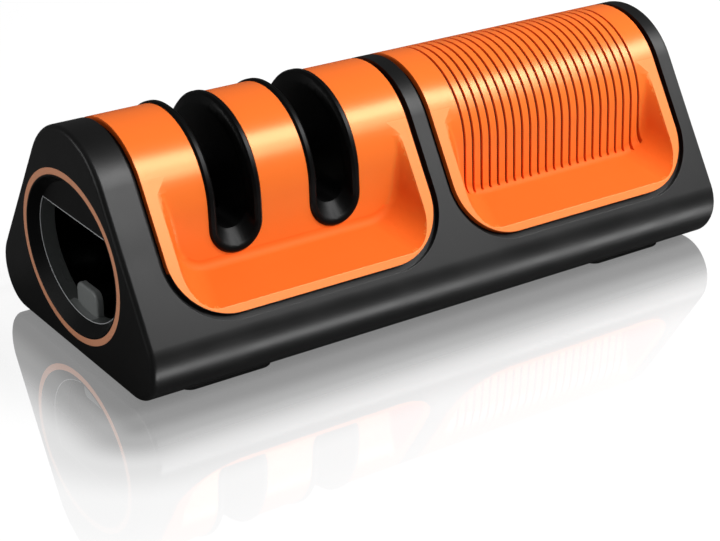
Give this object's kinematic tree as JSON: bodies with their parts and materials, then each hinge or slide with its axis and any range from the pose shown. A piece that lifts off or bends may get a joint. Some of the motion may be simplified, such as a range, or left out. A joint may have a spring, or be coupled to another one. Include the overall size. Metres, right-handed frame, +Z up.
{
  "type": "manual knife sharpener",
  "caption": "Hand knife sharpener: rounded triangular black body on rubber feet, two orange saddle covers, slots over coned abrasive discs that turn, ribbed grip, oval end bezel.",
  "frame": {"origin": "on the table under the middle of the body's length and depth", "axes": "+X along the body to the grip end, -Y towards the front slope, +Z up"},
  "size_m": [0.19, 0.0858, 0.0646],
  "materials": {
    "black_body": "satin",
    "orange_cover": "satin gloss",
    "black_liner": "gloss",
    "orange_ring": "satin",
    "black_bezel": "satin gloss",
    "black_base": "matte",
    "grey_cradle": "matte",
    "foot_rubber": "matte",
    "screw_steel": "zinc plated",
    "axle_steel": "ground",
    "bush_brass": "plain",
    "coarse_abrasive": "coarse diamond grit",
    "fine_abrasive": "fine ceramic"
  },
  "bodies": {
    "body": {"housing_shell": "black_body", "stage_cover": "orange_cover", "grip_cover": "orange_cover", "coarse_liner": "black_liner", "fine_liner": "black_liner", "end_ring": "orange_ring", "end_bezel": "black_bezel", "base_plate": "black_base", "base_screws": "screw_steel", "wheel_cradle": "grey_cradle", "cradle_screws": "screw_steel", "foot_front_left": "foot_rubber", "foot_front_right": "foot_rubber", "foot_back_left": "foot_rubber", "foot_back_right": "foot_rubber", "coarse_bushes": "bush_brass", "fine_bushes": "bush_brass"},
    "coarse_wheels": {"coarse_axle": "axle_steel", "coarse_disc_left": "coarse_abrasive", "coarse_disc_right": "coarse_abrasive", "coarse_spacer": "axle_steel", "coarse_clips": "axle_steel"},
    "fine_wheels": {"fine_axle": "axle_steel", "fine_disc_left": "fine_abrasive", "fine_disc_right": "fine_abrasive", "fine_spacer": "axle_steel", "fine_clips": "axle_steel"}
  },
  "joints": [
    {"name": "coarse_wheel_spin", "type": "hinge", "parent": "body", "child": "coarse_wheels", "pos_m": [-0.0585, 0, 0.0277], "axis": [1, 0, 0], "continuous": true},
    {"name": "fine_wheel_spin", "type": "hinge", "parent": "body", "child": "fine_wheels", "pos_m": [-0.0278, 0, 0.0277], "axis": [1, 0, 0], "continuous": true}
  ]
}
